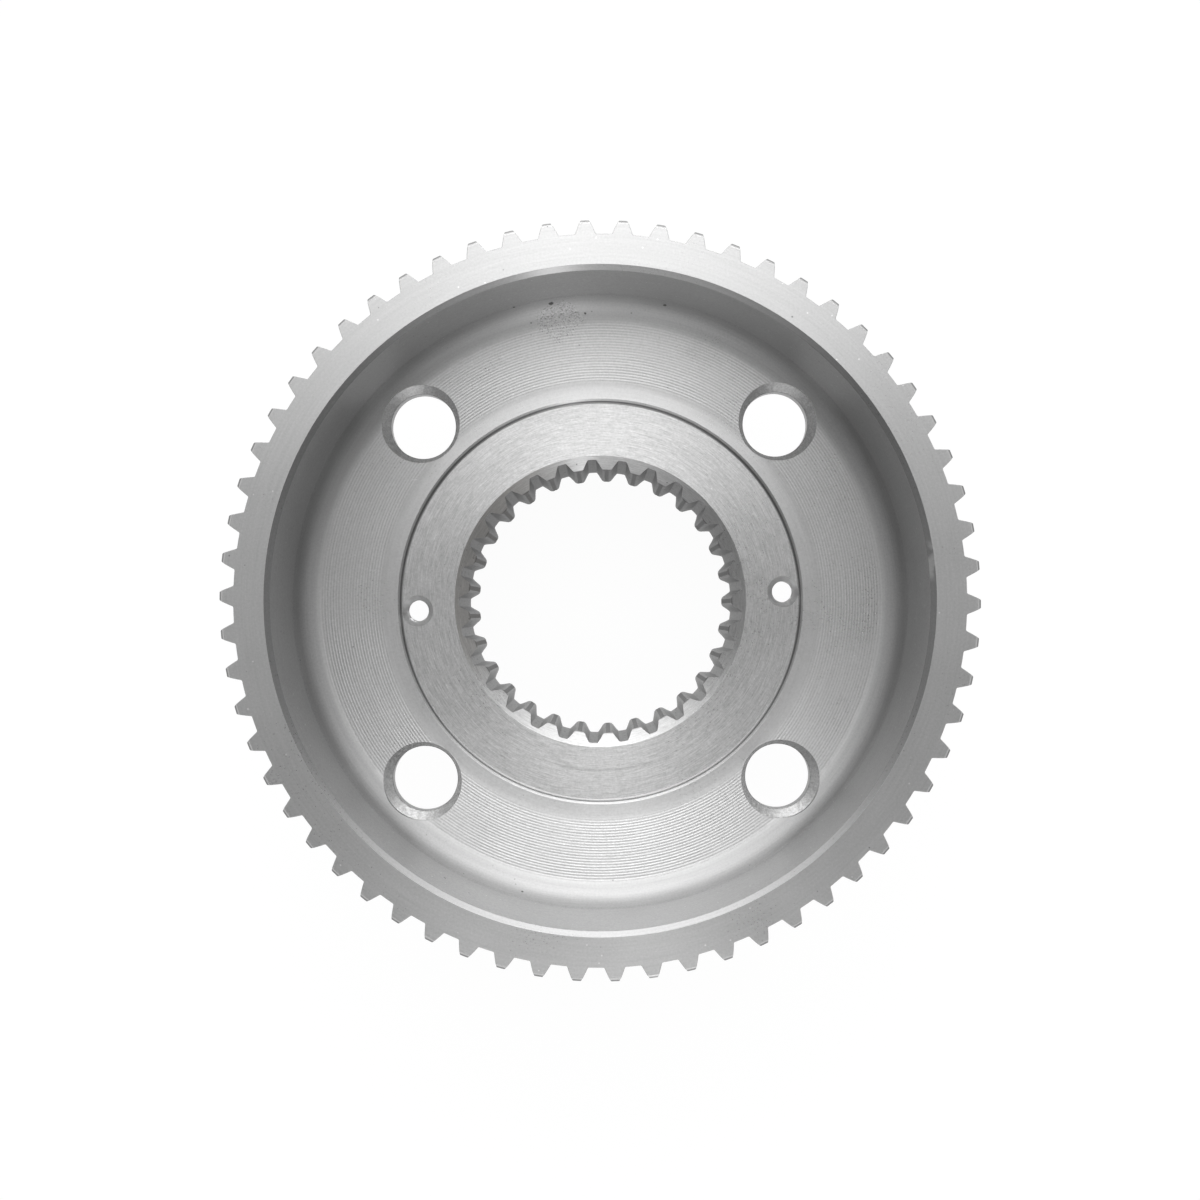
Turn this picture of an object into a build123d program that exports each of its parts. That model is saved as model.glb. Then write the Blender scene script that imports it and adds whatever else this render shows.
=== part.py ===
from build123d import *
from math import acos, cos, degrees, radians, tan
import os

# Ring gear with a deep dish: one forged steel piece, turned, hobbed, splined and drilled.
# Millimetres. The origin is on the axis, at the back face of the boss, on which the part rests.
# +Z points along the axis to the open front of the dish.

# Overall
total_height = 92.0

# Outer teeth, which are short and stand on the toothed flange
tooth_count = 62
tooth_module = 3.5
tooth_pressure_angle = 22.5
tooth_width_on_pitch_circle = 6.1
tooth_addendum = 4.0
tooth_dedendum = 0.3
tooth_angle = -0.97
tooth_front_chamfer = 0.6
tooth_back_chamfer = 1.2
flange_thickness = 22.0
flange_root_chamfer = 1.5

# Bell, the wall that joins the toothed flange to the web
bell_step_below_teeth = 1.7
bell_wall = 8.75
bell_mouth_chamfer = 1.5
bell_inner_corner = 9.0
bell_outer_corner = 18.0

# Web, a shallow cone that rises outwards from a flat band around the hub
web_depth = 43.7
web_band_width = 4.0
web_slope = 4.0

# Hub flange, a recessed flat seat inside a shallow step
seat_radius = 65.0
seat_recess = 2.0
seat_corner_chamfer = 0.8
seat_lip_chamfer = 0.3
hub_flange_thickness = 7.0
hub_flange_back_radius = 66.0

# Spline in the bore. A space of the hub is as wide on the pitch circle as a tooth of its cutter.
spline_count = 29
spline_module = 3.0
spline_pressure_angle = 30.0
spline_space_width_on_pitch_circle = 6.0
spline_root_outside_pitch_circle = 2.7
spline_tip_inside_pitch_circle = 0.6
spline_space_angle = -6.28
bore_front_chamfer = 4.5
bore_back_chamfer = 1.0

# Boss behind the web
boss_wall = 6.8
boss_end_chamfer = 1.0
boss_root_chamfer = 2.5

# Four oil holes through the web
oil_hole_count = 4
oil_hole_radius = 10.5
oil_hole_pitch_circle = 161.5
oil_hole_first_angle = 45.0
oil_hole_chamfer = 1.5
oil_hole_chamfer_tool_radius = 13.2

# Two tapped puller holes through the hub flange, drawn at the core of their thread
puller_hole_count = 2
puller_hole_radius = 3.4
puller_hole_pitch_circle = 119.0
puller_hole_first_angle = 2.63
puller_hole_front_countersink = 1.7
puller_hole_back_countersink = 1.0

# Cutting tools run this far past the faces that they cut
tool_overrun = 5.0

# Radii that follow
tooth_pitch_radius = tooth_module * tooth_count / 2
tooth_tip_radius = tooth_pitch_radius + tooth_addendum
tooth_root_radius = tooth_pitch_radius - tooth_dedendum
bell_outer_radius = tooth_root_radius - bell_step_below_teeth
bell_inner_radius = bell_outer_radius - bell_wall
web_band_radius = seat_radius + web_band_width
spline_pitch_radius = spline_module * spline_count / 2
spline_root_radius = spline_pitch_radius + spline_root_outside_pitch_circle
spline_tip_radius = spline_pitch_radius - spline_tip_inside_pitch_circle
boss_radius = spline_root_radius + boss_wall

# Heights that follow
flange_back_height = total_height - flange_thickness
web_height = total_height - web_depth
seat_height = web_height - seat_recess
hub_back_height = seat_height - hub_flange_thickness


def web_front(radius):
    """Height of the web's front face, a cone outside its flat band, at a radius."""
    return web_height + (radius - web_band_radius) * tan(radians(web_slope))


def web_back(radius):
    """Height of the web's back face, a cone outside the hub flange, at a radius."""
    return hub_back_height + (radius - hub_flange_back_radius) * tan(radians(web_slope))


def involute(angle):
    """Involute function of an angle in radians."""
    return tan(angle) - angle


def toothed_face(count, pitch_radius, pressure_angle, width, root_radius, tip_radius):
    """Flat face with involute teeth all round, one of them centred on +X.

    The width is the arc of a tooth on the pitch circle. Each flank is an arc through three points
    of the true involute.
    """
    base_radius = pitch_radius * cos(radians(pressure_angle))
    half_step = 180 / count

    def half_angle(radius):
        """Half the angle that a tooth takes up at a radius, in degrees."""
        growth = involute(radians(pressure_angle)) - involute(acos(base_radius / radius))
        return degrees(width / 2 / pitch_radius + growth)

    def at(radius, angle):
        """Point at a radius and an angle from the middle of the tooth."""
        return Vector(radius, 0).rotate(Axis.Z, angle)

    flank_radii = (root_radius, (root_radius + tip_radius) / 2, tip_radius)
    rising_flank = [at(radius, -half_angle(radius)) for radius in flank_radii]
    falling_flank = [at(radius, half_angle(radius)) for radius in reversed(flank_radii)]
    root_end = at(root_radius, 2 * half_step - half_angle(root_radius))
    one_pitch = [
        ThreePointArc(*rising_flank),
        ThreePointArc(rising_flank[2], at(tip_radius, 0), falling_flank[0]),
        ThreePointArc(*falling_flank),
        ThreePointArc(falling_flank[2], at(root_radius, half_step), root_end),
    ]
    return make_face([Rot(0, 0, 2 * half_step * i) * edge for i in range(count) for edge in one_pitch])


def turned(outline, fillets=()):
    """Solid turned about the axis from an outline of radius and height points.

    Each fillet is a point of the outline and the radius that rounds it.
    """
    section = make_face(Polyline(*outline, close=True))
    for corner, radius in fillets:
        section = fillet(section.vertices().sort_by_distance(corner)[0], radius)
    return revolve(Plane.XZ * section, Axis.Z)


def turned_blank():
    """The piece as the lathe leaves it, before its teeth, spline and holes are cut."""
    bell_back_corner = (bell_outer_radius, web_back(bell_outer_radius))
    bell_front_corner = (bell_inner_radius, web_front(bell_inner_radius))
    outline = [
        (spline_tip_radius, bore_back_chamfer),
        (spline_tip_radius + bore_back_chamfer, 0),
        (boss_radius - boss_end_chamfer, 0),
        (boss_radius, boss_end_chamfer),
        (boss_radius, hub_back_height - boss_root_chamfer),
        (boss_radius + boss_root_chamfer, hub_back_height),
        (hub_flange_back_radius, hub_back_height),
        bell_back_corner,
        (bell_outer_radius, flange_back_height - flange_root_chamfer),
        (bell_outer_radius + flange_root_chamfer, flange_back_height),
        (tooth_tip_radius - tooth_back_chamfer, flange_back_height),
        (tooth_tip_radius, flange_back_height + tooth_back_chamfer),
        (tooth_tip_radius, total_height - tooth_front_chamfer),
        (tooth_tip_radius - tooth_front_chamfer, total_height),
        (bell_inner_radius + bell_mouth_chamfer, total_height),
        (bell_inner_radius, total_height - bell_mouth_chamfer),
        bell_front_corner,
        (web_band_radius, web_height),
        (seat_radius + seat_lip_chamfer, web_height),
        (seat_radius, web_height - seat_lip_chamfer),
        (seat_radius, seat_height + seat_corner_chamfer),
        (seat_radius - seat_corner_chamfer, seat_height),
        (spline_tip_radius + bore_front_chamfer, seat_height),
        (spline_tip_radius, seat_height - bore_front_chamfer),
    ]
    return turned(outline, [(bell_back_corner, bell_outer_corner), (bell_front_corner, bell_inner_corner)])


def outer_teeth():
    """Prism with the outline of the outer teeth, as high as the piece."""
    face = toothed_face(
        count=tooth_count,
        pitch_radius=tooth_pitch_radius,
        pressure_angle=tooth_pressure_angle,
        width=tooth_width_on_pitch_circle,
        root_radius=tooth_root_radius,
        tip_radius=tooth_tip_radius,
    )
    return Rot(0, 0, tooth_angle) * extrude(face, total_height)


def spline_cutter():
    """Prism that cuts the spline through the bore. Its teeth are the spaces of the hub."""
    face = toothed_face(
        count=spline_count,
        pitch_radius=spline_pitch_radius,
        pressure_angle=spline_pressure_angle,
        width=spline_space_width_on_pitch_circle,
        root_radius=spline_tip_radius,
        tip_radius=spline_root_radius,
    )
    return Pos(0, 0, -tool_overrun) * Rot(0, 0, spline_space_angle) * extrude(face, total_height)


def oil_hole_tool():
    """Drill for an oil hole, with a chamfer cone at both faces of the web.

    The front cone is as wide as its tool. Where the web curves up to the bell wall, the side of
    that tool leaves a short upright step.
    """
    centre_radius = oil_hole_pitch_circle / 2
    front_cone_start = web_front(centre_radius) - oil_hole_chamfer
    front_cone_end = front_cone_start + oil_hole_chamfer_tool_radius - oil_hole_radius
    back_cone_start = web_back(centre_radius) + oil_hole_chamfer
    back_cone_end = back_cone_start - oil_hole_chamfer - tool_overrun
    return turned([
        (0, back_cone_end),
        (oil_hole_radius + oil_hole_chamfer + tool_overrun, back_cone_end),
        (oil_hole_radius, back_cone_start),
        (oil_hole_radius, front_cone_start),
        (oil_hole_chamfer_tool_radius, front_cone_end),
        (oil_hole_chamfer_tool_radius, front_cone_end + tool_overrun),
        (0, front_cone_end + tool_overrun),
    ])


def puller_hole_tool():
    """Drill for a puller hole, with a countersink at both faces of the hub flange."""
    front_radius = puller_hole_radius + puller_hole_front_countersink
    back_radius = puller_hole_radius + puller_hole_back_countersink
    top = web_height + tool_overrun
    bottom = hub_back_height - tool_overrun
    return turned([
        (0, bottom),
        (back_radius, bottom),
        (back_radius, hub_back_height),
        (puller_hole_radius, hub_back_height + puller_hole_back_countersink),
        (puller_hole_radius, seat_height - puller_hole_front_countersink),
        (front_radius, seat_height),
        (front_radius, top),
        (0, top),
    ])


def ring_gear():
    """The finished piece."""
    oil_holes = PolarLocations(oil_hole_pitch_circle / 2, oil_hole_count, oil_hole_first_angle)
    puller_holes = PolarLocations(puller_hole_pitch_circle / 2, puller_hole_count, puller_hole_first_angle)
    gear = turned_blank() & outer_teeth()
    gear -= spline_cutter()
    gear -= oil_holes * oil_hole_tool()
    gear -= puller_holes * puller_hole_tool()
    return gear


os.makedirs("parts", exist_ok=True)
export_step(ring_gear(), "parts/ring_gear.step")
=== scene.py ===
"""Ring gear with a deep dish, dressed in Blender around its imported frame.

The turned blank, its tooth spaces, its spline, its oil holes and its tapped holes are made in the
order in which a workshop makes them. Lengths are in metres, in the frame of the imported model.
"""

import math

import bmesh
import bpy
from bpy.props import (
    FloatProperty,
    FloatVectorProperty,
    IntProperty,
    PointerProperty,
)
from mathutils import Matrix, Vector


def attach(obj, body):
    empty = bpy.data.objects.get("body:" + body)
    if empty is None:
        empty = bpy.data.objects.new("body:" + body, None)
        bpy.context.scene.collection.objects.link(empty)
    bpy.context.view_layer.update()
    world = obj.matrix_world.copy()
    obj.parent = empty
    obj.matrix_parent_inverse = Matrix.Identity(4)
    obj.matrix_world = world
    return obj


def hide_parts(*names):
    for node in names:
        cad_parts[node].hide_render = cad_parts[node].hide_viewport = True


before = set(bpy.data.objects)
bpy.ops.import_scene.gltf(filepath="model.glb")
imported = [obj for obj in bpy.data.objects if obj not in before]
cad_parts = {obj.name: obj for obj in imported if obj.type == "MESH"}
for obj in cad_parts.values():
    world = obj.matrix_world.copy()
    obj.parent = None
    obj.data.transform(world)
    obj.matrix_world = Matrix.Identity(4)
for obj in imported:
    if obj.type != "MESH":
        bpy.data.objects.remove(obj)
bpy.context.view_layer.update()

bl_info = {
    "name": "Deep ring gear",
    "version": (1, 0, 0),
    "blender": (4, 5, 0),
    "location": "View3D > Sidebar > Ring Gear",
    "description": "Turns, cuts and finishes a ring gear with a deep dish, and sets up its studio",
    "category": "Object",
}

MM = 0.001
TURN = 2 * math.pi
SEAM = 1e-7
TOOL_OVERRUN = 5 * MM
SHARP_ANGLE = math.radians(35)
STRIP_PLACE = Vector((0.12, -0.85, 0.32))
STRIP_AIM = Vector((0, 0, 0.06))


def length(name, description, millimetres):
    """Property for a length, with its default in millimetres."""
    return FloatProperty(
        name=name, description=description, default=millimetres * MM, min=0, unit="LENGTH", precision=4
    )


def angle(name, description, degrees):
    """Property for an angle, with its default in degrees."""
    return FloatProperty(
        name=name, description=description, default=math.radians(degrees), subtype="ANGLE"
    )


def number(name, description, value):
    """Property for a plain number."""
    return FloatProperty(name=name, description=description, default=value)


def colour(name, description, shade):
    """Property for a colour."""
    return FloatVectorProperty(
        name=name, description=description, default=shade, min=0, max=1, subtype="COLOR"
    )


class BodySizes(bpy.types.PropertyGroup):
    """Sizes of the turned body."""

    height: length("Height", "From the back of the boss to the rim face", 92)
    tip_radius: length("Rim radius", "Radius over the tooth tips", 112.5)
    front_tip_chamfer: length("Front tip chamfer", "Chamfer of the tooth tips at the rim face", 1.1)
    back_tip_chamfer: length("Back tip chamfer", "Chamfer of the tooth tips behind the flange", 1.2)
    flange_thickness: length("Flange thickness", "Width of the toothed flange", 22)
    flange_fillet: length("Flange fillet", "Fillet between the bell and the flange's back", 1.5)
    bell_outer_radius: length("Bell outer radius", "Outside of the bell wall", 106.5)
    bell_inner_radius: length("Bell inner radius", "Inside of the bell wall", 97.75)
    mouth_chamfer: length("Mouth chamfer", "Chamfer at the mouth of the dish", 1.5)
    bell_inner_corner: length("Inner corner", "Radius between the bell wall and the web's front", 9)
    bell_outer_corner: length("Outer corner", "Radius between the bell wall and the web's back", 18)
    web_depth: length("Web depth", "From the rim face down to the web's flat band", 43.7)
    web_band_radius: length("Web band radius", "Outside of the flat band around the seat", 69)
    web_slope: angle("Web slope", "Rise of the web towards the bell wall", 5)
    seat_radius: length("Seat radius", "Radius of the recessed seat", 65)
    seat_recess: length("Seat recess", "Depth of the seat below the web's band", 2)
    seat_fillet: length("Seat fillet", "Fillet at the foot of the seat's step", 0.8)
    seat_lip: length("Seat lip", "Chamfer at the top of the seat's step", 0.7)
    hub_thickness: length("Hub thickness", "Thickness of the hub flange under the seat", 7)
    hub_back_radius: length("Hub back radius", "Where the flat back of the hub meets the web's cone", 66)
    bore_radius: length("Bore radius", "Radius over the tips of the spline's teeth", 42.9)
    bore_front_chamfer: length("Front bore chamfer", "Width of the bore's chamfer at the seat", 4.5)
    bore_front_depth: length("Front bore chamfer depth", "Depth of the bore's chamfer at the seat", 3.5)
    bore_back_chamfer: length("Back bore chamfer", "Chamfer of the bore at the boss", 1)
    boss_radius: length("Boss radius", "Outside of the boss", 53)
    boss_chamfer: length("Boss chamfer", "Chamfer at the end of the boss", 1)
    boss_fillet: length("Boss fillet", "Fillet between the boss and the hub's back", 2.5)
    edge_break: length("Edge break", "Radius left on the turned edges", 0.12)
    columns: IntProperty(name="Columns", description="Steps around the axis", default=288, min=24)


class ToothSizes(bpy.types.PropertyGroup):
    """Sizes of the outer teeth."""

    count: IntProperty(name="Teeth", description="Number of outer teeth", default=62, min=6)
    pitch_radius: length("Pitch radius", "Radius of the pitch circle", 108.5)
    pressure_angle: angle("Pressure angle", "Angle of the flanks on the pitch circle", 22.5)
    width: length("Tooth width", "Arc of a tooth on the pitch circle", 5.95)
    root_radius: length("Root radius", "Radius of the tooth roots", 108.2)
    tip_radius: length("Tip radius", "Radius of the tooth tips", 112.5)
    root_fillet: length("Root fillet", "Fillet at the foot of a flank", 0.5)
    tip_corner: length("Tip corner", "Rounding at the top of a flank", 0.45)
    edge_break: length("Edge break", "Chamfer around each tooth at both faces of the flange", 0.12)
    first_angle: angle("First angle", "Angle of the first tooth from the X axis", -0.97)


class SplineSizes(bpy.types.PropertyGroup):
    """Sizes of the spline in the bore."""

    count: IntProperty(name="Spaces", description="Number of spline spaces", default=29, min=6)
    pitch_radius: length("Pitch radius", "Radius of the pitch circle", 43.5)
    pressure_angle: angle("Pressure angle", "Angle of the flanks on the pitch circle", 30)
    width: length("Space width", "Arc of a space on the pitch circle", 6.0)
    root_radius: length("Root radius", "Radius of the bottoms of the spaces", 46.2)
    tip_radius: length("Tip radius", "Radius over the tips of the teeth", 42.9)
    root_fillet: length("Root fillet", "Fillet at the bottom of a space", 0.6)
    tip_corner: length("Tip corner", "Rounding at the tip of a tooth", 1.7)
    first_angle: angle("First angle", "Angle of the first space from the X axis", -6.28)


class HoleSizes(bpy.types.PropertyGroup):
    """Sizes of the oil holes and of the tapped puller holes."""

    oil_count: IntProperty(name="Oil holes", description="Number of oil holes", default=4, min=1)
    oil_radius: length("Oil hole radius", "Radius of an oil hole", 10.5)
    oil_circle_radius: length("Oil hole circle", "Distance of the oil holes from the axis", 80.75)
    oil_first_angle: angle("Oil hole angle", "Angle of the first oil hole from the X axis", 45)
    oil_chamfer: length("Oil hole chamfer", "Chamfer of an oil hole at both faces", 2.1)
    oil_tool_radius: length("Chamfer tool radius", "Radius of the tool that cuts the front chamfer", 13.2)
    puller_count: IntProperty(name="Puller holes", description="Number of tapped holes", default=2, min=1)
    puller_radius: length("Thread core radius", "Radius at the crests of the inner thread", 3.4)
    puller_circle_radius: length("Puller hole circle", "Distance of the tapped holes from the axis", 59.5)
    puller_first_angle: angle("Puller hole angle", "Angle of the first tapped hole", 2.63)
    thread_pitch: length("Thread pitch", "Distance from one thread to the next", 1.25)
    thread_depth: length("Thread depth", "Depth of the thread outside its core", 0.6)
    front_countersink: length("Front countersink", "Width of the countersink at the seat", 1.7)
    back_countersink: length("Back countersink", "Width of the countersink at the back", 1)


class SteelFinish(bpy.types.PropertyGroup):
    """Colours and marks of the bare steel."""

    colour: colour("Steel", "Colour of the clean steel", (0.48, 0.48, 0.48))
    film: colour("Film", "Colour of the steel under a film of old oil", (0.50, 0.475, 0.445))
    turned_roughness: number("Turned roughness", "Roughness of the turned faces", 0.3)
    cut_roughness: number("Cut roughness", "Roughness of the tooth flanks", 0.42)
    clouds: number("Clouds", "How much the shade drifts across a face", 0.16)
    drawn_lines: number("Drawn lines", "Contrast of the fine lines around the axis", 0.2)
    pit_shade: number("Pit shade", "How much darker a pit is", 0.62)
    scratch_shade: number("Scratch shade", "How much brighter a scratch is", 0.35)
    feed: length("Feed", "Distance between the feed lines on the web", 0.89)
    feed_height: length("Feed line height", "Height of the feed lines on the web", 0.04)
    feed_shade: number("Feed line shade", "Contrast of the feed lines on the web", 0.21)


class StudioSetup(bpy.types.PropertyGroup):
    """Floor, light and camera."""

    floor: colour("Floor", "Colour of the floor", (0.9, 0.9, 0.9))
    floor_radius: length("Floor radius", "Radius of the round floor", 6000)
    shadow: number("Floor shadow", "Share of the floor's own shading that is seen", 0.04)
    back_wall: number("Back wall", "Glow of the wall towards +Y", 5.0)
    ceiling: number("Ceiling", "Glow of the back wall where it bends overhead", 2.65)
    front_wall: number("Front wall", "Glow of the wall towards -Y", 1.5)
    side_walls: number("Side walls", "Glow of the walls towards -X and +X", 1.0)
    strip: number("Strip light", "Power of the narrow upright light in front", 0.5)
    strip_width: length("Strip width", "Width of the narrow light", 50)
    strip_height: length("Strip height", "Height of the narrow light", 300)
    camera_height: length("Camera height", "Height of the camera over the rim face", 440)
    camera_right: length("Camera right", "Camera's offset along X", 1.0)
    camera_front: length("Camera front", "Camera's offset towards -Y", 3.8)
    lens: number("Lens", "Focal length in millimetres", 44.79)
    roll: angle("Roll", "Turn of the picture about the camera's axis", -0.37)


def operation(name):
    """Method that adds the Math node of an operation."""
    return lambda value, *others: value.maths(name, *others)


class Value:
    """A node socket on which arithmetic can be written. Each expression adds its Math nodes."""

    __add__ = __radd__ = operation("ADD")
    __mul__ = __rmul__ = operation("MULTIPLY")
    __sub__ = operation("SUBTRACT")
    __truediv__ = operation("DIVIDE")
    __pow__ = operation("POWER")
    __mod__ = operation("FLOORED_MODULO")
    __gt__ = operation("GREATER_THAN")
    __lt__ = operation("LESS_THAN")
    __abs__ = operation("ABSOLUTE")
    cos = operation("COSINE")
    sin = operation("SINE")
    floor = operation("FLOOR")
    at_least = operation("MAXIMUM")
    at_most = operation("MINIMUM")

    def __init__(self, graph, socket):
        self.graph = graph
        self.socket = socket

    def maths(self, operation, *others):
        inputs = dict(enumerate((self, *others)))
        return self.graph.node("ShaderNodeMath", {"operation": operation}, inputs)[0]

    def __rsub__(self, other):
        return self.graph.node("ShaderNodeMath", {"operation": "SUBTRACT"}, {0: other, 1: self})[0]

    def between(self, low, high, new_low=0.0, new_high=1.0):
        """Smooth step from a new low to a new high as the value goes from low to high."""
        settings = {"interpolation_type": "SMOOTHSTEP"}
        inputs = {"Value": self, "From Min": low, "From Max": high, "To Min": new_low, "To Max": new_high}
        return self.graph.node("ShaderNodeMapRange", settings, inputs)["Result"]

    def up_to(self, end, gone):
        """One up to an end, then falling smoothly to zero where it is gone."""
        return self.between(gone, end)

    def within(self, start, full, end, gone):
        """Zero before its start, one from full to end, and zero again once it is gone."""
        return self.between(start, full) * self.up_to(end, gone)


class Node:
    """A node of a graph. Indexing it by name or number gives an output as a Value."""

    def __init__(self, graph, node):
        self.graph = graph
        self.node = node

    def __getitem__(self, key):
        if isinstance(key, str):
            socket = next(s for s in self.node.outputs if s.enabled and s.name == key)
        else:
            socket = self.node.outputs[key]
        return Value(self.graph, socket)


class Graph:
    """A node tree that is filled by one method."""

    def __init__(self, tree):
        self.tree = tree
        tree.nodes.clear()

    def node(self, kind, settings=None, inputs=None):
        """Adds a node, makes its settings, then gives its sockets their values or links."""
        node = self.tree.nodes.new(kind)
        for name, value in (settings or {}).items():
            if name == "captures":
                for capture_kind, capture_name in value:
                    node.capture_items.new(capture_kind, capture_name)
            else:
                setattr(node, name, value)
        for key, value in (inputs or {}).items():
            if isinstance(key, str):
                socket = next(s for s in node.inputs if s.enabled and s.name == key)
            else:
                socket = node.inputs[key]
            if isinstance(value, Value):
                self.tree.links.new(value.socket, socket)
            else:
                socket.default_value = value
        return Node(self, node)

    def vector(self, x=0.0, y=0.0, z=0.0):
        """Vector from its three parts."""
        return self.node("ShaderNodeCombineXYZ", {}, {"X": x, "Y": y, "Z": z})["Vector"]

    def parts(self, vector):
        """The three parts of a vector."""
        split = self.node("ShaderNodeSeparateXYZ", {}, {"Vector": vector})
        return split["X"], split["Y"], split["Z"]

    def scaled(self, vector, factor):
        """A vector times a factor."""
        inputs = {"Vector": vector, "Scale": factor}
        return self.node("ShaderNodeVectorMath", {"operation": "SCALE"}, inputs)["Vector"]

    def distance(self, start, end):
        """Distance between two places."""
        inputs = {0: start, 1: end}
        return self.node("ShaderNodeVectorMath", {"operation": "DISTANCE"}, inputs)["Value"]

    def grey(self, level):
        """Colour of one level in red, green and blue."""
        inputs = {"Red": level, "Green": level, "Blue": level}
        return self.node("ShaderNodeCombineColor", {}, inputs)["Color"]


class ShapeTree(Graph):
    """A Geometry Nodes tree with named inputs and one geometry output."""

    def __init__(self, name, inputs):
        super().__init__(bpy.data.node_groups.new(name, "GeometryNodeTree"))
        for socket_name, kind in inputs.items():
            self.tree.interface.new_socket(socket_name, in_out="INPUT", socket_type=kind)
        self.tree.interface.new_socket("Result", in_out="OUTPUT", socket_type="NodeSocketGeometry")
        self.given = self.node("NodeGroupInput")

    def wrapped(self, grid, place):
        """A grid with its points at new places and its seams closed."""
        bent = self.node("GeometryNodeSetPosition", {}, {"Geometry": grid, "Position": place})["Geometry"]
        inputs = {"Geometry": bent, "Distance": SEAM}
        return self.node("GeometryNodeMergeByDistance", {}, inputs)["Geometry"]

    def finish(self, geometry, selection, material):
        """Ends the tree in Realize Instances and Set Material."""
        plain = self.node("GeometryNodeRealizeInstances", {}, {"Geometry": geometry})["Geometry"]
        inputs = {"Geometry": plain, "Selection": selection, "Material": material}
        finished = self.node("GeometryNodeSetMaterial", {}, inputs)["Geometry"]
        self.node("NodeGroupOutput", {}, {"Result": finished})

    def use(self, piece, **values):
        """Puts the tree on a piece as a modifier, with its inputs set by their identifiers."""
        modifier = piece.modifiers.new(self.tree.name, "NODES")
        modifier.node_group = self.tree
        for socket in self.tree.interface.items_tree:
            key = socket.name.lower().replace(" ", "_")
            if socket.in_out == "INPUT" and key in values:
                modifier[socket.identifier] = values[key]


def turning_tree():
    """Tree that turns a section about the Z axis. The section's points lie in the XZ plane."""
    graph = ShapeTree(
        "Turned Form",
        {"Section": "NodeSocketObject", "Columns": "NodeSocketInt", "Finish": "NodeSocketMaterial"},
    )
    given = graph.given
    section = graph.node("GeometryNodeObjectInfo", {}, {"Object": given["Section"]})["Geometry"]
    sizes = graph.node("GeometryNodeAttributeDomainSize", {"component": "MESH"}, {"Geometry": section})
    corners = sizes["Point Count"]
    rows = corners + 1
    inputs = {"Vertices X": given["Columns"] + 1, "Vertices Y": rows}
    grid = graph.node("GeometryNodeMeshGrid", {}, inputs)["Mesh"]
    index = graph.node("GeometryNodeInputIndex")[0]
    position = graph.node("GeometryNodeInputPosition")[0]
    inputs = {"Geometry": section, "Value": position, "Index": (index % rows) % corners}
    corner = graph.node("GeometryNodeSampleIndex", {"data_type": "FLOAT_VECTOR"}, inputs)["Value"]
    out, _, up = graph.parts(corner)
    turned = (index / rows).floor() * TURN / given["Columns"]
    around = graph.vector(out * turned.cos(), out * turned.sin(), up)
    graph.finish(graph.wrapped(grid, around), True, given["Finish"])
    return graph


def indexing_tree():
    """Tree that cuts a piece with one tool, as often around the axis as it is told."""
    graph = ShapeTree(
        "Indexed Cut",
        {
            "Piece": "NodeSocketGeometry",
            "Tool": "NodeSocketObject",
            "Count": "NodeSocketInt",
            "Circle Radius": "NodeSocketFloat",
            "First Angle": "NodeSocketFloat",
            "Finish": "NodeSocketMaterial",
        },
    )
    given = graph.given
    tool = graph.node("GeometryNodeObjectInfo", {}, {"Object": given["Tool"]})["Geometry"]
    index = graph.node("GeometryNodeInputIndex")[0]
    turned = given["First Angle"] + index * TURN / given["Count"]
    place = graph.vector(given["Circle Radius"] * turned.cos(), given["Circle Radius"] * turned.sin())
    points = graph.node("GeometryNodePoints", {}, {"Count": given["Count"], "Position": place})["Points"]
    inputs = {"Points": points, "Instance": tool, "Rotation": graph.vector(z=turned)}
    tools = graph.node("GeometryNodeInstanceOnPoints", {}, inputs)["Instances"]
    tools = graph.node("GeometryNodeRealizeInstances", {}, {"Geometry": tools})["Geometry"]
    marked = graph.node(
        "GeometryNodeCaptureAttribute",
        {"domain": "FACE", "captures": [("BOOLEAN", "Cut")]},
        {"Geometry": tools, "Cut": True},
    )
    cut = graph.node(
        "GeometryNodeMeshBoolean",
        {"operation": "DIFFERENCE", "solver": "EXACT"},
        {"Mesh 1": given["Piece"], "Mesh 2": marked["Geometry"]},
    )["Mesh"]
    graph.finish(cut, marked["Cut"], given["Finish"])
    return graph


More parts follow.
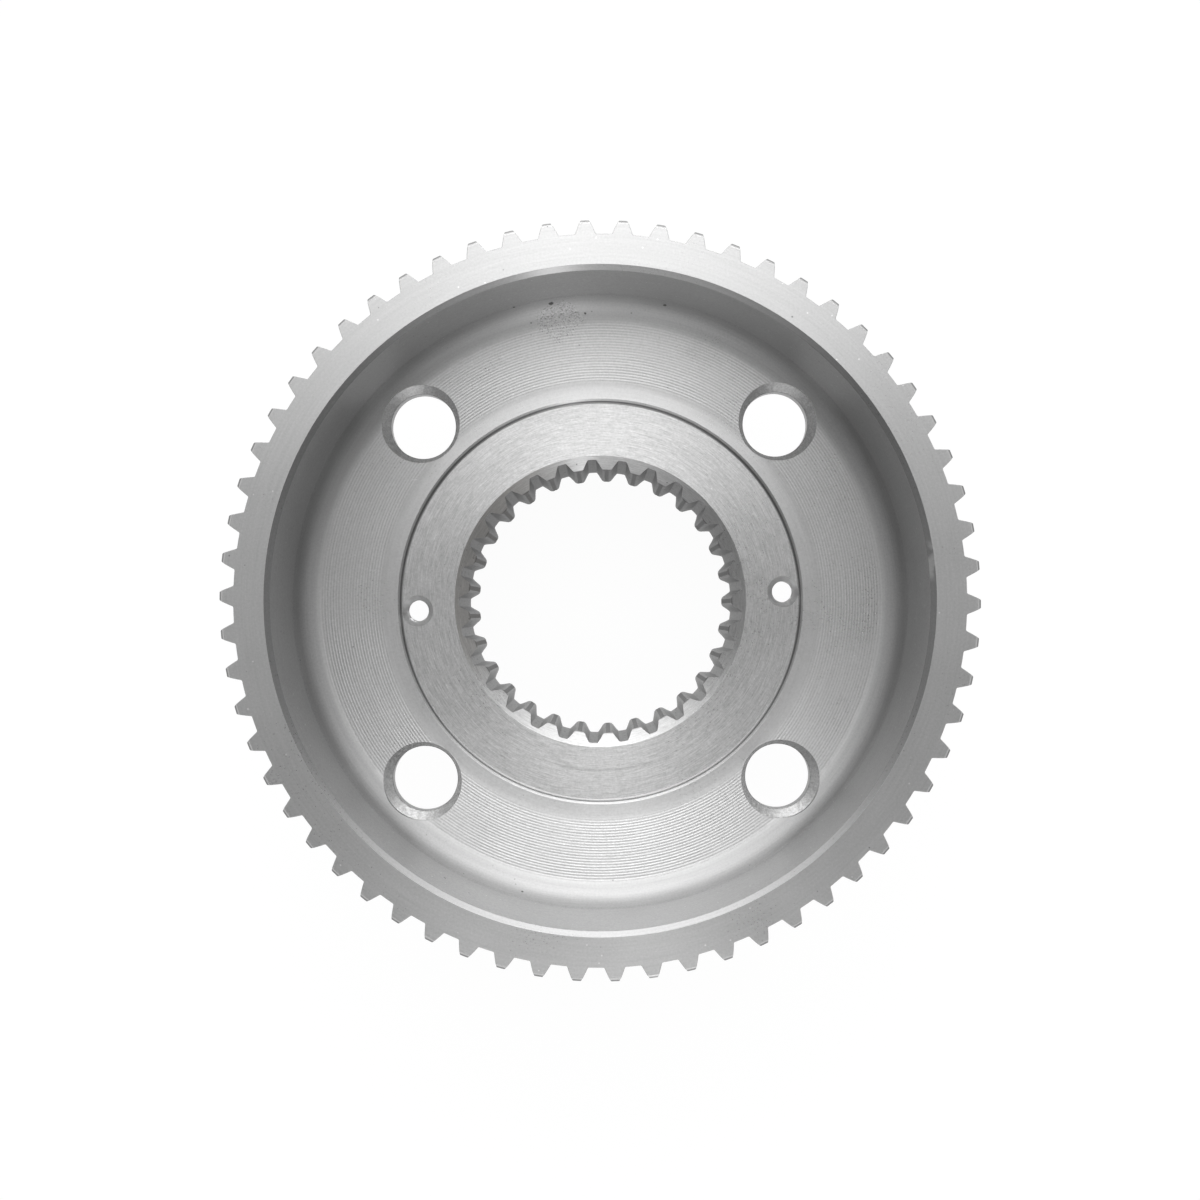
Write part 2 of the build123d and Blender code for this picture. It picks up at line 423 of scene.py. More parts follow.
def tapping_tree():
    """Tree that makes a tap: a round tool with a thread on it and a countersink at both ends."""
    lengths = ("Core Radius", "Thread Depth", "Pitch", "Back Height", "Front Height")
    lengths += ("Back Countersink", "Front Countersink", "Overrun")
    inputs = {name: "NodeSocketFloat" for name in lengths}
    inputs |= {"Columns": "NodeSocketInt", "Rows": "NodeSocketInt", "Finish": "NodeSocketMaterial"}
    graph = ShapeTree("Tap", inputs)
    given = graph.given
    columns, rows = given["Columns"], given["Rows"]
    inputs = {"Vertices X": columns + 1, "Vertices Y": rows + 1}
    grid = graph.node("GeometryNodeMeshGrid", {}, inputs)["Mesh"]
    index = graph.node("GeometryNodeInputIndex")[0]
    row = index % (rows + 1)
    turned = (index / (rows + 1)).floor() / columns
    bottom = given["Back Height"] - given["Overrun"]
    height = bottom + row / rows * (given["Front Height"] + given["Overrun"] - bottom)
    along = (height / given["Pitch"] - turned) % 1
    thread = ((1 - abs(along * 2 - 1)) * 1.5 - 0.3).at_least(0).at_most(1)
    threaded = given["Core Radius"] + given["Thread Depth"] * thread
    front_rise = height - given["Front Height"] + given["Front Countersink"]
    back_rise = given["Back Height"] + given["Back Countersink"] - height
    front = given["Core Radius"] + front_rise.at_most(given["Front Countersink"])
    back = given["Core Radius"] + back_rise.at_most(given["Back Countersink"])
    open_row = (row > 0.5) * (row < rows - 0.5)
    radius = threaded.at_least(front).at_least(back) * open_row
    around = graph.vector(radius * (turned * TURN).cos(), radius * (turned * TURN).sin(), height)
    graph.finish(graph.wrapped(grid, around), True, given["Finish"])
    return graph


def rounded(corners, step=math.radians(10)):
    """Points of a closed outline. Each corner is x, y and the radius of the arc that rounds it."""
    points = []
    befores = corners[-1:] + corners[:-1]
    afters = corners[1:] + corners[:1]
    for before, corner, after in zip(befores, corners, afters):
        here = Vector(corner[:2])
        back = (Vector(before[:2]) - here).normalized()
        on = (Vector(after[:2]) - here).normalized()
        turn = math.pi - back.angle(on)
        radius = corner[2]
        if radius == 0 or turn < step / 4:
            points.append(here)
            continue
        centre = here + (back + on).normalized() * radius / math.cos(turn / 2)
        spoke = here + back * radius * math.tan(turn / 2) - centre
        side = math.copysign(1, back.cross(on))
        steps = max(2, math.ceil(turn / step))
        for i in range(steps + 1):
            swing = -side * turn * i / steps
            x = spoke.x * math.cos(swing) - spoke.y * math.sin(swing)
            y = spoke.x * math.sin(swing) + spoke.y * math.cos(swing)
            points.append(centre + Vector((x, y)))
    return points


def offset(points, distance):
    """The points of a closed outline, moved out by a distance."""
    moved = []
    for before, here, after in zip(points[-1:] + points[:-1], points, points[1:] + points[:1]):
        run = ((here - before).normalized() + (after - here).normalized()).normalized()
        lean = max(0.5, run.dot((after - here).normalized()))
        moved.append(here + Vector((run.y, -run.x)) * distance / lean)
    return moved


def polar(radius, turned):
    """Plane point at a radius and an angle."""
    return Vector((radius * math.cos(turned), radius * math.sin(turned)))


def plain_object(name, mesh):
    """A new object that holds a mesh and is in the scene."""
    piece = bpy.data.objects.new(name, mesh)
    bpy.context.scene.collection.objects.link(piece)
    return piece


def section_object(name, points):
    """Object that holds the points of a section, for the turning tree."""
    mesh = bpy.data.meshes.new(name)
    mesh.from_pydata([(point.x, 0, point.y) for point in points], [], [])
    return plain_object(name, mesh)


def prism_object(name, levels):
    """Closed object from levels of a height and an outline, each with as many points as the next."""
    mesh = bpy.data.meshes.new(name)
    shape = bmesh.new()
    rings = []
    for height, outline in levels:
        rings.append([shape.verts.new((point.x, point.y, height)) for point in outline])
    for lower, upper in zip(rings, rings[1:]):
        for i in range(len(lower)):
            shape.faces.new((lower[i - 1], lower[i], upper[i], upper[i - 1]))
    shape.faces.new(reversed(rings[0]))
    shape.faces.new(rings[-1])
    bmesh.ops.recalc_face_normals(shape, faces=shape.faces)
    shape.to_mesh(mesh)
    shape.free()
    return plain_object(name, mesh)


def involute(turned):
    """Involute function of an angle."""
    return math.tan(turned) - turned


def half_width(sizes, radius):
    """Half the angle that a tooth of the given sizes takes up at a radius."""
    base = sizes.pitch_radius * math.cos(sizes.pressure_angle)
    growth = involute(sizes.pressure_angle) - involute(math.acos(base / radius))
    return sizes.width / 2 / sizes.pitch_radius + growth


def space_outline(sizes, half_angle, steps=3):
    """Outline of the space between two teeth, centred on the X axis and open past the tips."""
    outwards = math.copysign(1, sizes.tip_radius - sizes.root_radius)
    beside_tip = 1.15 * MM
    shoulder = half_angle(sizes.tip_radius) + beside_tip / sizes.tip_radius
    near, far = 0.05 * MM * outwards, 3 * MM * outwards
    depth = sizes.root_radius - sizes.tip_radius
    flank = [sizes.tip_radius + depth * i / steps for i in range(steps + 1)]
    radii = [sizes.tip_corner] + [0] * (steps - 1) + [sizes.root_fillet]
    side = [(sizes.tip_radius + far, shoulder, 0), (sizes.tip_radius + near, shoulder, 0)]
    side += [(radius, half_angle(radius), arc) for radius, arc in zip(flank, radii)]
    way_back = [(radius, -turned, arc) for radius, turned, arc in reversed(side)]
    corners = side + [(sizes.root_radius, 0, 0)] + way_back
    return rounded([(*polar(radius, turned), arc) for radius, turned, arc in corners], math.radians(16))


def tooth_tool(teeth, body):
    """Cutter for one space between the outer teeth, flared where it leaves the flange's faces."""
    outline = space_outline(teeth, lambda radius: math.pi / teeth.count - half_width(teeth, radius))
    if sum(a.cross(b) for a, b in zip(outline, outline[1:] + outline[:1])) < 0:
        outline.reverse()
    past, overrun = 0.03 * MM, 4 * MM
    wide = offset(outline, teeth.edge_break + past)
    front, back = body.height, body.height - body.flange_thickness
    levels = [
        (back - overrun, wide),
        (back - past, wide),
        (back + teeth.edge_break, outline),
        (front - teeth.edge_break, outline),
        (front + past, wide),
        (front + overrun, wide),
    ]
    return prism_object("tooth_tool", levels)


def spline_tool(spline, body):
    """Broach for one space of the spline."""
    outline = space_outline(spline, lambda radius: half_width(spline, radius))
    return prism_object("spline_tool", [(-TOOL_OVERRUN, outline), (body.height, outline)])


# Pits in the forging that the tool did not clean up: place and reach in millimetres
PITS = (
    (-15.2, 95.6, 54.6, 0.95),
    (-26.9, 93.8, 57.2, 0.45),
    (-27.9, 90.7, 52.1, 0.3),
    (-21.8, 90.0, 50.6, 0.45),
    (-4.3, 93.0, 50.9, 0.5),
    (-2.1, 93.6, 51.2, 0.35),
    (21.3, 94.6, 55.1, 0.7),
    (-25.6, -92.9, 53.9, 0.5),
    (-48.3, -85.0, 72.3, 0.5),
    (44.8, 46.0, 47.5, 0.9),
)

# Two patches near the bell wall that still have some of the forging's skin
CAST_PATCH = (-12.5, 91.2, 50.2, 8.5)
FAINT_PATCH = (34.4, 80.4, 49.6, 7)

# Bright scratches in the web and the bell wall: both ends and half the width in millimetres
SCRATCHES = (
    ((-64.4, 39.8, 48.7), (-61.2, 39.6, 48.5), 0.16),
    ((-60.6, 39.7, 48.5), (-59.2, 39.8, 48.4), 0.2),
    ((97.7, -8.2, 72.0), (97.5, -5.2, 70.0), 0.2),
    ((97.5, -5.2, 70.0), (97.6, -3.0, 71.5), 0.2),
)


def web_height(body):
    """Height of the web's flat band."""
    return body.height - body.web_depth


def web_front(body, radius):
    """Height of the web's front face at a radius outside its flat band."""
    return web_height(body) + (radius - body.web_band_radius) * math.tan(body.web_slope)


def web_back(body, radius):
    """Height of the web's back face at a radius outside the hub flange."""
    hub_back = web_height(body) - body.seat_recess - body.hub_thickness
    return hub_back + (radius - body.hub_back_radius) * math.tan(body.web_slope)


def body_section(body):
    """Section of the turned blank, from the bore round the back to the front."""
    seat = web_height(body) - body.seat_recess
    hub_back = seat - body.hub_thickness
    flange_back = body.height - body.flange_thickness
    edge = body.edge_break
    past_band = body.web_band_radius + 2 * MM
    return rounded([
        (body.bore_radius, body.bore_back_chamfer, edge),
        (body.bore_radius + body.bore_back_chamfer, 0, edge),
        (body.boss_radius - body.boss_chamfer, 0, edge),
        (body.boss_radius, body.boss_chamfer, edge),
        (body.boss_radius, hub_back, body.boss_fillet),
        (body.hub_back_radius, hub_back, 0),
        (body.bell_outer_radius, web_back(body, body.bell_outer_radius), body.bell_outer_corner),
        (body.bell_outer_radius, flange_back, body.flange_fillet),
        (body.tip_radius - body.back_tip_chamfer, flange_back, edge),
        (body.tip_radius, flange_back + body.back_tip_chamfer, edge),
        (body.tip_radius, body.height - body.front_tip_chamfer, edge),
        (body.tip_radius - body.front_tip_chamfer, body.height, edge),
        (body.bell_inner_radius + body.mouth_chamfer, body.height, edge),
        (body.bell_inner_radius, body.height - body.mouth_chamfer, edge),
        (body.bell_inner_radius, web_front(body, body.bell_inner_radius), body.bell_inner_corner),
        (past_band, web_front(body, past_band), 0),
        (body.web_band_radius, web_height(body), 0),
        (body.seat_radius + body.seat_lip, web_height(body), edge),
        (body.seat_radius, web_height(body) - body.seat_lip, edge),
        (body.seat_radius, seat, body.seat_fillet),
        (body.bore_radius + body.bore_front_chamfer, seat, edge),
        (body.bore_radius, seat - body.bore_front_depth, edge),
    ])


def oil_tool_section(holes, body):
    """Section of the drill for an oil hole, with a chamfer cone at both faces of the web."""
    edge = 0.15 * MM
    front = web_front(body, holes.oil_circle_radius) - holes.oil_chamfer
    cone_end = front + holes.oil_tool_radius - holes.oil_radius
    back = web_back(body, holes.oil_circle_radius) + holes.oil_chamfer
    back_end = back - holes.oil_chamfer - TOOL_OVERRUN
    return rounded([
        (0, back_end, 0),
        (holes.oil_radius + holes.oil_chamfer + TOOL_OVERRUN, back_end, 0),
        (holes.oil_radius, back, edge),
        (holes.oil_radius, front, edge),
        (holes.oil_tool_radius, cone_end, 0.2 * MM),
        (holes.oil_tool_radius, cone_end + TOOL_OVERRUN, 0),
        (0, cone_end + TOOL_OVERRUN, 0),
    ])


class SteelGraph(Graph):
    """The shading of bare steel, with its places in millimetres."""

    def __init__(self, name):
        self.material = bpy.data.materials.new(name)
        self.material.use_nodes = True
        super().__init__(self.material.node_tree)
        self.place = self.scaled(self.node("ShaderNodeTexCoord")["Object"], 1 / MM)
        self.x, self.y, self.z = self.parts(self.place)
        self.radius = (self.x * self.x + self.y * self.y) ** 0.5
        self.turned = self.y.maths("ARCTAN2", self.x) / TURN

    def noise(self, vector, scale, detail=2.0, rough=0.5):
        """Noise about zero."""
        inputs = {"Vector": vector, "Scale": scale, "Detail": detail, "Roughness": rough}
        return self.node("ShaderNodeTexNoise", {"noise_dimensions": "3D"}, inputs)["Fac"] - 0.5

    def around(self, fineness, length):
        """Noise drawn out around the axis, as a turning tool leaves it."""
        across = (self.radius + self.z) * fineness
        place = self.vector(across, self.x / self.radius * length, self.y / self.radius * length)
        return self.noise(place, 1.0, 2, 0.7)

    def sector(self, degrees, half_width):
        """One in a sector around the axis, falling to zero at its sides."""
        away = abs((self.turned - degrees / 360 + 0.5) % 1 - 0.5) * 360
        return away.up_to(half_width * 0.5, half_width)

    def spot(self, mark, ragged):
        """One around a mark's place, falling to zero at its reach with a ragged edge."""
        *place, reach = mark
        away = self.distance(self.place, place) + ragged * reach
        return away.up_to(reach * 0.7, reach)

    def scratch(self, start, end, reach):
        """One along the line between two places, falling to zero at its sides."""
        run = Vector(end) - Vector(start)
        inputs = {0: self.place, 1: start}
        from_start = self.node("ShaderNodeVectorMath", {"operation": "SUBTRACT"}, inputs)["Vector"]
        inputs = {0: from_start, 1: run / run.length_squared}
        part = self.node("ShaderNodeVectorMath", {"operation": "DOT_PRODUCT"}, inputs)["Value"]
        nearest = self.scaled(run, part.at_least(0).at_most(1))
        return self.distance(from_start, nearest).up_to(reach * 0.4, reach)

    def specks(self, spacing, reach, ragged):
        """Small marks, strewn through space, so that they differ in size where a face cuts them."""
        inputs = {"Vector": self.place, "Scale": 1 / spacing, "Randomness": 1.0}
        away = self.node("ShaderNodeTexVoronoi", {"feature": "F1"}, inputs)["Distance"] * spacing
        return (away + ragged * reach).up_to(reach * 0.6, reach)

    def finish(self, steel, tint, level, roughness, height, drawn, along):
        """Ends the tree in a metal whose marks are drawn around the axis or along it."""
        metal = self.node(
            "ShaderNodeMix",
            {"data_type": "RGBA"},
            {"Factor": tint, "A": (*steel.colour, 1), "B": (*steel.film, 1)},
        )["Result"]
        colour = self.node(
            "ShaderNodeMix",
            {"data_type": "RGBA", "blend_type": "MULTIPLY"},
            {"Factor": 1.0, "A": metal, "B": self.grey(level)},
        )["Result"]
        inputs = {"Strength": 1.0, "Distance": MM, "Height": height}
        bump = self.node("ShaderNodeBump", {}, inputs)["Normal"]
        surface = self.node(
            "ShaderNodeBsdfPrincipled",
            {},
            {
                "Base Color": colour,
                "Metallic": 1.0,
                "Roughness": roughness,
                "Anisotropic": drawn,
                "Anisotropic Rotation": 0.0 if along else 0.25,
                "Normal": bump,
            },
        )["BSDF"]
        self.node("ShaderNodeOutputMaterial", {}, {"Surface": surface})
        return self.material


# Painted light and shade: how much lighter or darker each face of the turned blank is drawn than plain
# steel.
# The rim, tip chamfers, mouth chamfer, bell wall and its inner corner, seat's step, bore chamfer and
# spline's land are darkened with painted shade; the web and its flat band are lightened with painted light
FACE_PAINTED_LIGHT_AND_SHADE = {
    "rim": -0.11,
    "tip_chamfer": -0.5,
    "mouth_chamfer": -0.48,
    "bell_wall": -0.37,
    "inner_corner": -0.33,
    "web": 0.06,
    "band": 0.05,
    "step": -0.52,
    "bore_chamfer": -0.16,
    "spline_land": -0.5,
}

# Grain, roughness and bright specks that single faces have beyond the others
FACE_GRAIN = {"bell_wall": 0.4, "web": 0.15, "seat": 0.2}
FACE_ROUGHNESS = {"bell_wall": 0.2, "inner_corner": 0.12, "spline_land": 0.3}
FACE_SPECKS = {"rim": 1, "bell_wall": 1, "web": 0.6, "seat": 0.5}


def turned_faces(graph, body):
    """The faces of the turned blank. Each is one on the face itself and zero off it."""
    radius, z = graph.radius, graph.z
    rim = body.height / MM
    band = web_height(body) / MM
    seat = band - body.seat_recess / MM
    tip = body.tip_radius / MM
    wall = body.bell_inner_radius / MM
    mouth = body.mouth_chamfer / MM
    band_end = body.web_band_radius / MM
    step = body.seat_radius / MM
    bore = body.bore_radius / MM
    bore_mouth = bore + body.bore_front_chamfer / MM

    dish = radius.up_to(wall + mouth - 0.05, wall + mouth + 0.02) * (z > band - 0.1)
    mouth_chamfer = dish * z.between(rim - mouth - 0.05, rim - mouth + 0.05)
    bell_wall = dish * radius.between(wall - 0.6, wall - 0.1) * (1 - mouth_chamfer)
    inner_corner = dish * radius.between(wall - 8.5, wall - 5) * (1 - bell_wall) * (1 - mouth_chamfer)
    web = radius.within(band_end + 1, band_end + 3.5, wall - 9.75, wall - 5.75)
    step_face = radius.within(step - 0.75, step - 0.5, step + 0.05, step + 0.15)
    step_face = step_face * z.within(seat - 0.5, seat - 0.3, band - 0.02, band + 0.1)
    return {
        "rim": z.between(rim - 0.05, rim - 0.02),
        "tip_chamfer": radius.between(tip - 0.62, tip - 0.55) * z.up_to(rim - 0.06, rim - 0.02),
        "mouth_chamfer": mouth_chamfer,
        "bell_wall": bell_wall,
        "inner_corner": inner_corner,
        "web": web * z.between(band - 0.3, band - 0.1),
        "band": radius.within(step + 0.3, step + 0.5, step + 4, step + 6),
        "step": step_face,
        "seat": radius.up_to(step - 0.9, step - 0.4) * z.between(seat - 0.1, seat - 0.05),
        "bore_chamfer": radius.up_to(bore_mouth - 0.05, bore_mouth + 0.05) * z.up_to(seat, seat + 0.1),
        "spline_land": radius.up_to(bore + 0.4, bore + 0.7) * z.up_to(seat - 3.5, seat - 3),
    }


def on_faces(faces, strengths, elsewhere):
    """A strength that holds elsewhere, with the strengths of single faces added to it."""
    total = elsewhere
    for name, strength in strengths.items():
        total = faces[name] * strength + total
    return total


def dark_marks(graph, faces, cloud, crumbs, blotch):
    """Pores and pits of the forging, and what two patches still have of its skin."""
    dark = graph.specks(5.0, 0.33, crumbs) * cloud.between(-0.08, 0.14, 0.1, 0.8)
    dark = dark * (1 - faces["seat"] * 0.8)
    skin = graph.spot(CAST_PATCH, blotch) * 0.7 + graph.spot(FAINT_PATCH, blotch) * 0.3
    dark = dark.at_least(crumbs.between(0.05, 0.16) * skin)
    for pit in PITS:
        dark = dark.at_least(graph.spot(pit, crumbs))
    return dark


def bright_marks_and_glints(graph, faces, crumbs, blotch):
    """Specks, scratches, the burrs on the mouth chamfer, and painted glints in the cast patch."""
    bright = graph.specks(4.4, 0.33, crumbs) * on_faces(faces, FACE_SPECKS, 0)
    for start, end, reach in SCRATCHES:
        bright = bright.at_least(graph.scratch(start, end, reach))
    burrs = graph.sector(6.4, 4) * faces["mouth_chamfer"] * blotch.between(-0.1, 0.1)
    glints = crumbs.between(-0.06, -0.16) * graph.spot(CAST_PATCH, blotch) * 0.5
    return bright.at_least(burrs).at_least(glints)


def feed_lines(graph, steel):
    """Waves that a coarse feed leaves, deeper in some places than in others."""
    turns = graph.radius * MM / steel.feed + graph.turned
    uneven = graph.noise(graph.vector(turns), 0.9) * 1.6 + 0.75
    patch = graph.noise(graph.place, 0.035, 1).between(-0.15, 0.1, 0.6, 1.0)
    return (turns * TURN).cos() * uneven * patch


def turned_steel(steel, body):
    """Steel as the lathe leaves it. Each face of the blank has its own grain and marks, and its own
    painted light and shade.
    """
    graph = SteelGraph("turned_steel")
    faces = turned_faces(graph, body)
    cloud = graph.noise(graph.place, 0.03)
    grain = graph.noise(graph.place, 1.5, 2, 0.65)
    crumbs = graph.noise(graph.place, 2.0, 2, 0.7)
    blotch = graph.noise(graph.place, 0.2) * 1.2
    drawn = graph.around(1.6, 4)
    fine = graph.around(4.5, 12) * (faces["seat"] + faces["bore_chamfer"])
    dark = dark_marks(graph, faces, cloud, crumbs, blotch)
    bright = bright_marks_and_glints(graph, faces, crumbs, blotch)
    feed = feed_lines(graph, steel) * faces["web"]
    rubbed = graph.radius.within(54.2, 54.8, 55.0, 55.6) * graph.sector(272, 24)
    rubbed = rubbed * (drawn + 0.3).at_least(0) * 0.5

    grit = grain * on_faces(faces, FACE_GRAIN, 0.3) + fine
    # Painted light and shade of each face, drifting with the clouds, the drawn lines and the grit
    level = on_faces(faces, FACE_PAINTED_LIGHT_AND_SHADE, 1) * (1 + cloud * steel.clouds + drawn * steel.drawn_lines + grit)
    level = level * (1 - dark * steel.pit_shade) * (1 - rubbed)
    level = level + bright * steel.scratch_shade + feed * steel.feed_shade
    height = feed * (steel.feed_height / MM / 2) + grain * 0.007 + drawn * 0.01 + fine * 0.011
    roughness = on_faces(faces, FACE_ROUGHNESS, steel.turned_roughness)
    roughness = roughness + cloud * 0.08 + grain * 0.1 + dark * 0.25
    oiled = faces["bore_chamfer"] * graph.sector(160, 60) * 0.4
    return graph.finish(steel, oiled, level, roughness, height, 0.8, False)


def cut_steel(name, steel, shade, spacing, reach, roughness, painted_shade_fall=0.0):
    """Steel cut along the axis by a hob or a broach. Painted shade can make it darker towards the back of
    the bore, at +Y, and lighter towards the front.
    """
    graph = SteelGraph(name)
    lines = graph.noise(graph.vector(graph.x * 2.2, graph.y * 2.2, graph.z * 0.12), 1.0, 3, 0.6)
    grain = graph.noise(graph.place, 1.3, 2, 0.6)
    dark = graph.specks(spacing, reach, grain)
    level = (shade + lines * 0.3 + grain * 0.2) * (1 - dark * 0.55)
    # Painted shade: darker towards +Y, where the flanks face away from the bright back wall, and lighter
    # towards -Y
    level = level * graph.y.between(-35, 30, 1 + painted_shade_fall, 1 - painted_shade_fall)
    height = lines * 0.01 + grain * 0.003
    return graph.finish(steel, 0.0, level, roughness + grain * 0.1, height, 0.3, True)


def drilled_steel(steel, holes):
    """Steel of the oil holes. The tool chattered where it cut the chamfer."""
    graph = SteelGraph("drilled_steel")
    centre = holes.oil_circle_radius / MM * math.cos(holes.oil_first_angle)
    across, up = abs(graph.x) - centre, abs(graph.y) - centre
    reach = (across * across + up * up) ** 0.5
    on_cone = reach.between(holes.oil_radius / MM, holes.oil_radius / MM + 0.3)
    grain = graph.noise(graph.place, 1.8, 3, 0.65)
    patch = graph.noise(graph.place, 0.18, 1).between(-0.05, 0.12)
    wander = graph.noise(graph.place, 0.3) * 14
    chatter = (up.maths("ARCTAN2", across) * 30 + wander).sin() * on_cone * patch
    # Painted shade and light: the hole walls are drawn dark and the chamfer cones light, besides the grain
    # and the chatter
    level = 0.6 + on_cone * 0.48 + grain * 1.2 + chatter * 0.08
    height = grain * 0.05 + chatter * 0.02
    return graph.finish(steel, 0.0, level, steel.cut_roughness + grain * 0.15, height, 0.0, True)


def tool_steels(steel, body, holes):
    """The finishes that the tools leave behind."""
    return {
        "turned": turned_steel(steel, body),
        "hobbed": cut_steel("hobbed_steel", steel, 0.8, 6.0, 0.3, steel.cut_roughness),
        # The broached spline is drawn dark, painted shade in place of dark reflections in the bore, with
        # painted shade falling towards +Y
        "broached": cut_steel("broached_steel", steel, 0.5, 3.0, 0.65, steel.cut_roughness + 0.2, 0.3),
        "drilled": drilled_steel(steel, holes),
        # The tapped holes are drawn lighter, painted light for the bright countersinks
        "tapped": cut_steel("tapped_steel", steel, 1.25, 6.0, 0.3, steel.turned_roughness),
    }


class MakeRingGear(bpy.types.Operator):
    """Turn the blank, cut its teeth, spline and holes, and finish it"""

    bl_idname = "ring_gear.make_gear"
    bl_label = "Ring gear"

    def execute(self, context):
        scene = context.scene
        body, teeth, spline, holes = scene.gear_body, scene.gear_teeth, scene.gear_spline, scene.gear_holes
        finishes = tool_steels(scene.gear_steel, body, holes)
        turning, indexing, tapping = turning_tree(), indexing_tree(), tapping_tree()

        section = section_object("body_section", body_section(body))
        oil_section = section_object("oil_tool_section", oil_tool_section(holes, body))
        teeth_cutter = tooth_tool(teeth, body)
        broach = spline_tool(spline, body)
        drill = plain_object("oil_drill", bpy.data.meshes.new("oil_drill"))
        turning.use(drill, section=oil_section, columns=96, finish=finishes["drilled"])
        tap = plain_object("tap", bpy.data.meshes.new("tap"))
        seat = web_height(body) - body.seat_recess
        tapping.use(
            tap,
            core_radius=holes.puller_radius,
            thread_depth=holes.thread_depth,
            pitch=holes.thread_pitch,
            back_height=seat - body.hub_thickness,
            front_height=seat,
            back_countersink=holes.back_countersink,
            front_countersink=holes.front_countersink,
            overrun=TOOL_OVERRUN,
            columns=40,
            rows=110,
            finish=finishes["tapped"],
        )

        blank = plain_object("blank", bpy.data.meshes.new("blank"))
        turning.use(blank, section=section, columns=body.columns, finish=finishes["turned"])
        cuts = (
            (teeth_cutter, teeth.count, 0.0, teeth.first_angle + math.pi / teeth.count, "hobbed"),
            (broach, spline.count, 0.0, spline.first_angle, "broached"),
            (drill, holes.oil_count, holes.oil_circle_radius, holes.oil_first_angle, "drilled"),
            (tap, holes.puller_count, holes.puller_circle_radius, holes.puller_first_angle, "tapped"),
        )
        for tool, count, circle_radius, first_angle, finish in cuts:
            placing = {"count": count, "circle_radius": circle_radius, "first_angle": first_angle}
            indexing.use(blank, tool=tool, finish=finishes[finish], **placing)
        mesh = bpy.data.meshes.new_from_object(blank.evaluated_get(context.evaluated_depsgraph_get()))
        mesh.name = "ring_gear_steel"
        mesh.shade_smooth()
        mesh.set_sharp_from_angle(angle=SHARP_ANGLE)
        gear = plain_object("ring_gear_steel", mesh)
        gear.modifiers.new("weigh_normals", "WEIGHTED_NORMAL").keep_sharp = True
        weighed = bpy.data.meshes.new_from_object(gear.evaluated_get(context.evaluated_depsgraph_get()))
        gear.modifiers.clear()
        gear.data = weighed
        for helper in (section, oil_section, teeth_cutter, broach, drill, tap, blank):
            bpy.data.objects.remove(helper)
        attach(gear, "root")
        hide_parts("ring_gear")
        return {"FINISHED"}


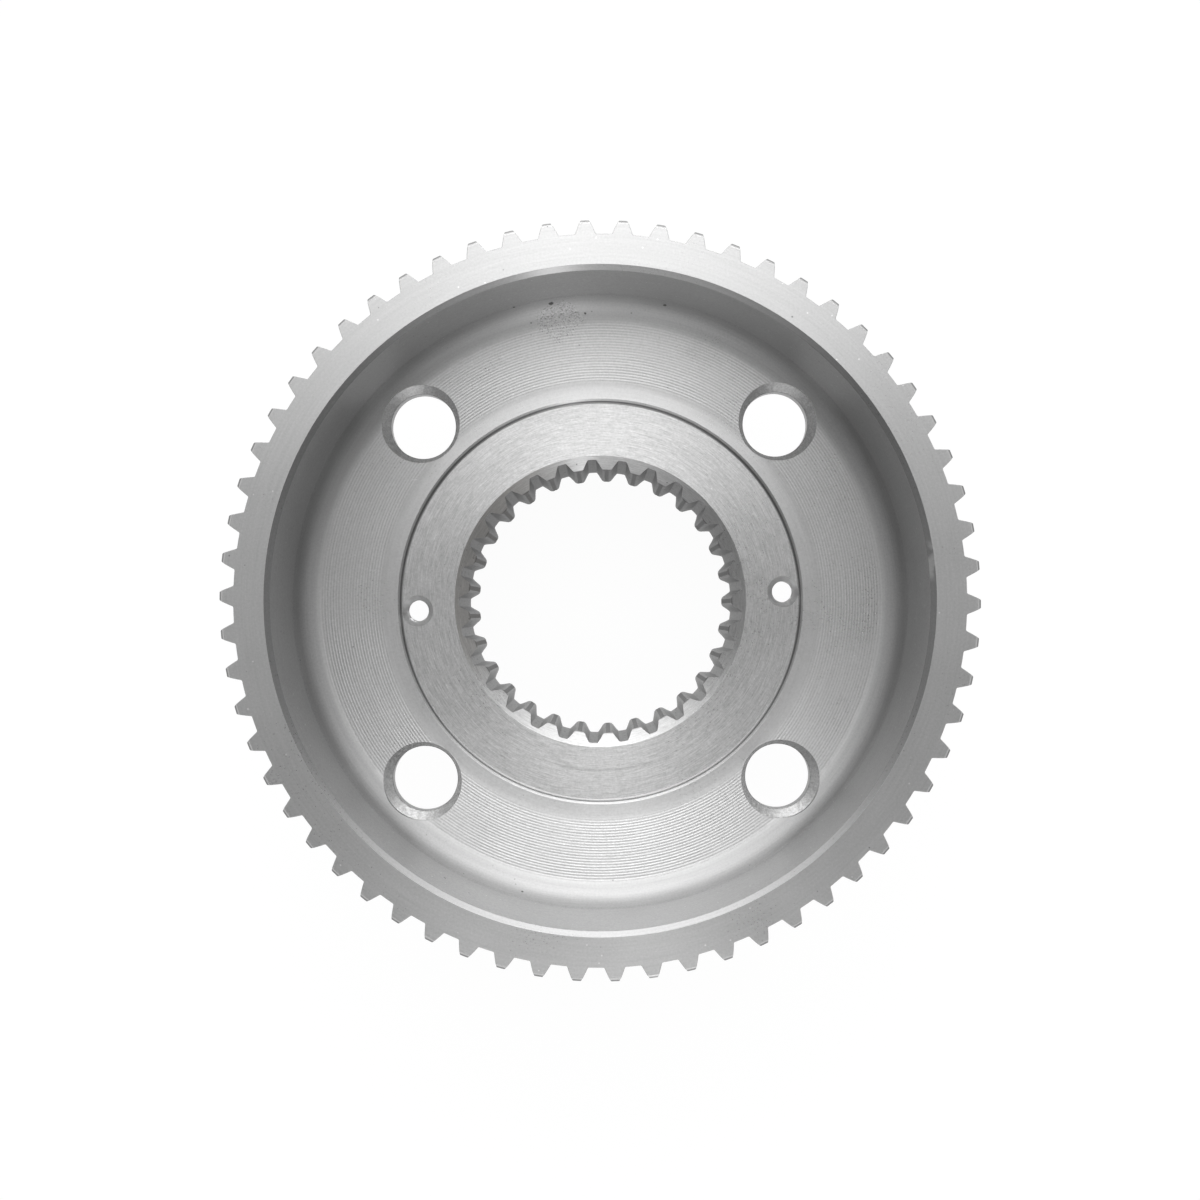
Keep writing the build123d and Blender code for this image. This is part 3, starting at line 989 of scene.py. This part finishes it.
class MakeStudio(bpy.types.Operator):
    """Lay the floor, hang the lights and place the camera"""

    bl_idname = "ring_gear.make_studio"
    bl_label = "Studio"

    def execute(self, context):
        scene = context.scene
        studio = scene.gear_studio
        scene.view_settings.view_transform = "Standard"
        self.lay_floor(studio)
        self.light_walls(scene, studio)
        self.hang_strip(studio)
        self.place_camera(scene, studio)
        return {"FINISHED"}

    def lay_floor(self, studio):
        mesh = bpy.data.meshes.new("floor")
        shape = bmesh.new()
        bmesh.ops.create_circle(shape, cap_ends=True, segments=96, radius=studio.floor_radius)
        shape.to_mesh(mesh)
        shape.free()
        floor = plain_object("floor", mesh)
        material = bpy.data.materials.new("pale_floor")
        material.use_nodes = True
        graph = Graph(material.node_tree)
        rays = graph.node("ShaderNodeLightPath")
        seen = rays["Is Camera Ray"].at_least(rays["Is Glossy Ray"]).at_least(rays["Is Transmission Ray"])
        paint = graph.node("ShaderNodeBsdfDiffuse", {}, {"Color": (*studio.floor, 1)})["BSDF"]
        glow = graph.node("ShaderNodeEmission", {}, {"Color": (1, 1, 1, 1), "Strength": 1.0})["Emission"]
        inputs = {"Fac": seen * (1 - studio.shadow), 1: paint, 2: glow}
        surface = graph.node("ShaderNodeMixShader", {}, inputs)["Shader"]
        graph.node("ShaderNodeOutputMaterial", {}, {"Surface": surface})
        mesh.materials.append(material)

    def light_walls(self, scene, studio):
        """Large soft walls of light around the piece, which the camera sees as plain white.

        Each wall glows most in its own direction and fades towards its neighbours. Along z it goes
        from the floor, at 0, to straight overhead, at 1.
        """
        scene.world = bpy.data.worlds.new("studio_walls")
        scene.world.use_nodes = True
        graph = Graph(scene.world.node_tree)
        x, y, z = graph.parts(graph.node("ShaderNodeTexCoord")["Generated"])
        level_reach = (x * x + y * y).at_least(1e-6)
        behind = (y.at_least(0) ** 2 / level_reach) ** z.between(0.2, 0.8, 1.5, 1.0)
        in_front = (y.at_most(0) ** 2 / level_reach) ** 2
        beside = (x * x / level_reach) ** 2
        off_floor = z.between(-0.05, 0.12, 0.05, 1.0)
        off_ceiling = z.between(1.0, 0.9, 0.15)
        front_top, side_foot = studio.front_wall * 0.42, studio.side_walls * 0.55
        back_wall = z.between(0.45, 1.0, studio.back_wall, studio.ceiling) * off_floor
        front_wall = z.between(0.8, 1.0, studio.front_wall, front_top)
        side_wall = z.between(0.4, 0.85, side_foot, studio.side_walls) * off_ceiling
        glow = behind * back_wall + in_front * front_wall + beside * side_wall
        seen = graph.node("ShaderNodeLightPath")["Is Camera Ray"]
        inputs = {"Color": graph.grey(glow * (1 - seen) + seen), "Strength": 1.0}
        sky = graph.node("ShaderNodeBackground", {}, inputs)["Background"]
        graph.node("ShaderNodeOutputWorld", {}, {"Surface": sky})

    def hang_strip(self, studio):
        """Narrow upright light in front, which draws a bright ray across the faces turned to it."""
        data = bpy.data.lights.new("strip_light", "AREA")
        data.shape = "RECTANGLE"
        data.size = studio.strip_width
        data.size_y = studio.strip_height
        data.energy = studio.strip
        light = bpy.data.objects.new("strip_light", data)
        light.location = STRIP_PLACE
        light.rotation_euler = (STRIP_AIM - STRIP_PLACE).to_track_quat("-Z", "Y").to_euler()
        bpy.context.scene.collection.objects.link(light)

    def place_camera(self, scene, studio):
        data = bpy.data.cameras.new("camera")
        data.sensor_width = 36
        data.lens = studio.lens
        data.clip_start = 0.01
        camera = bpy.data.objects.new("camera", data)
        rim_face = Vector((0, 0, scene.gear_body.height))
        offset_from_face = Vector((studio.camera_right, -studio.camera_front, studio.camera_height))
        camera.location = rim_face + offset_from_face
        out = (camera.location - rim_face).normalized()
        right = Vector((math.cos(studio.roll), math.sin(studio.roll), 0))
        up = out.cross(right).normalized()
        camera.rotation_euler = Matrix((up.cross(out), up, out)).transposed().to_euler()
        scene.collection.objects.link(camera)
        scene.camera = camera


class RingGearPanel(bpy.types.Panel):
    """Sizes, finish and studio of the ring gear"""

    bl_idname = "VIEW3D_PT_ring_gear"
    bl_label = "Ring Gear"
    bl_space_type = "VIEW_3D"
    bl_region_type = "UI"
    bl_category = "Ring Gear"

    def draw(self, context):
        for name, title, _, operator in GROUPS:
            box = self.layout.box()
            box.label(text=title)
            group = getattr(context.scene, name)
            for key in group.bl_rna.properties.keys():
                if key not in ("rna_type", "name"):
                    box.prop(group, key)
            if operator:
                box.operator(operator)


GROUPS = (
    ("gear_body", "Body", BodySizes, None),
    ("gear_teeth", "Outer teeth", ToothSizes, None),
    ("gear_spline", "Spline", SplineSizes, None),
    ("gear_holes", "Holes", HoleSizes, None),
    ("gear_steel", "Steel", SteelFinish, MakeRingGear.bl_idname),
    ("gear_studio", "Studio", StudioSetup, MakeStudio.bl_idname),
)
CLASSES = (*(group for _, _, group, _ in GROUPS), MakeRingGear, MakeStudio, RingGearPanel)


def register():
    for cls in CLASSES:
        bpy.utils.register_class(cls)
    for name, _, group, _ in GROUPS:
        setattr(bpy.types.Scene, name, PointerProperty(type=group))


def unregister():
    for name, *_ in GROUPS:
        delattr(bpy.types.Scene, name)
    for cls in reversed(CLASSES):
        bpy.utils.unregister_class(cls)


def main():
    register()
    bpy.ops.ring_gear.make_gear()
    bpy.ops.ring_gear.make_studio()


if __name__ == "__main__":
    main()
